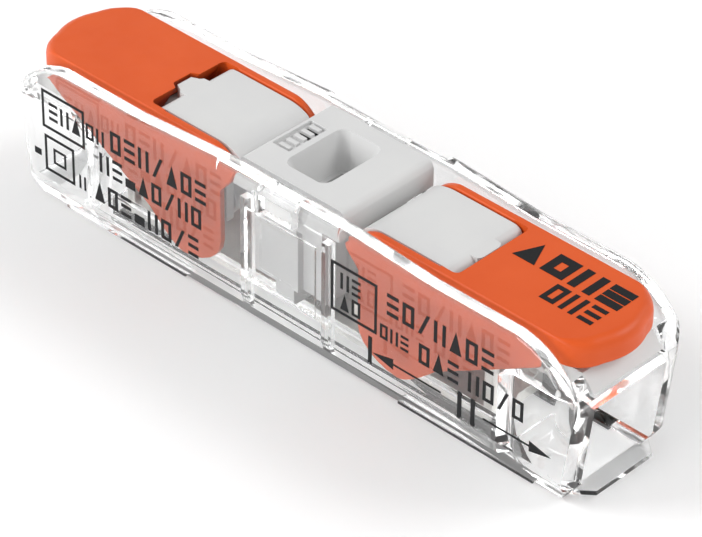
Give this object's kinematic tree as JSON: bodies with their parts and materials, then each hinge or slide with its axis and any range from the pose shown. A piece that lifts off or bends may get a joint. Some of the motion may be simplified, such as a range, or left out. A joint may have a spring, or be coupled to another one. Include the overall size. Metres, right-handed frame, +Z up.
{
  "type": "lever wire connector",
  "caption": "Inline lever wire connector: clear housing with a wire mouth at each end, hinged orange clamp levers, grey centre insert with a test slot.",
  "frame": {"origin": "middle of the underside, on the plane of the feet", "axes": "+X along the conductors to the right-hand mouth, +Y across, +Z up through the levers"},
  "size_m": [0.0362, 0.0078, 0.0089],
  "materials": {
    "clear_plastic": "clear polished polycarbonate",
    "grey_plastic": "fine satin moulding",
    "orange_plastic": "fine satin moulding",
    "tinned_copper": "dull tin plate",
    "spring_steel": "rolled spring strip",
    "print_ink": "dark pad-printed ink, visual model only"
  },
  "bodies": {
    "connector_body": {"clear_housing": "clear_plastic", "centre_insert": "grey_plastic", "busbar": "tinned_copper", "clamp_cover_left": "grey_plastic", "clamp_cover_right": "grey_plastic", "clamp_spring_left": "spring_steel", "clamp_spring_right": "spring_steel"},
    "lever_left": {"lever_left": "orange_plastic"},
    "lever_right": {"lever_right": "orange_plastic"},
    "spring_leg_left": {"spring_leg_left": "spring_steel"},
    "spring_leg_right": {"spring_leg_right": "spring_steel"}
  },
  "joints": [
    {"name": "lever_right_hinge", "type": "hinge", "parent": "connector_body", "child": "lever_right", "pos_m": [0.0065, 0, 0.0056], "axis": [0, -1, 0], "range_deg": [0, 90]},
    {"name": "lever_left_hinge", "type": "hinge", "parent": "connector_body", "child": "lever_left", "pos_m": [-0.0065, 0, 0.0056], "axis": [0, 1, 0], "range_deg": [0, 90]},
    {"name": "spring_right_flex", "type": "hinge", "parent": "connector_body", "child": "spring_leg_right", "pos_m": [0.0059, 0, 0.005], "axis": [0, -1, 0], "range_deg": [0, 41]},
    {"name": "spring_left_flex", "type": "hinge", "parent": "connector_body", "child": "spring_leg_left", "pos_m": [-0.0059, 0, 0.005], "axis": [0, 1, 0], "range_deg": [0, 41]}
  ],
  "couplings": [
    {"joint": "spring_right_flex", "follows": "lever_right_hinge", "ratio": 0.45},
    {"joint": "spring_left_flex", "follows": "lever_left_hinge", "ratio": 0.45}
  ]
}
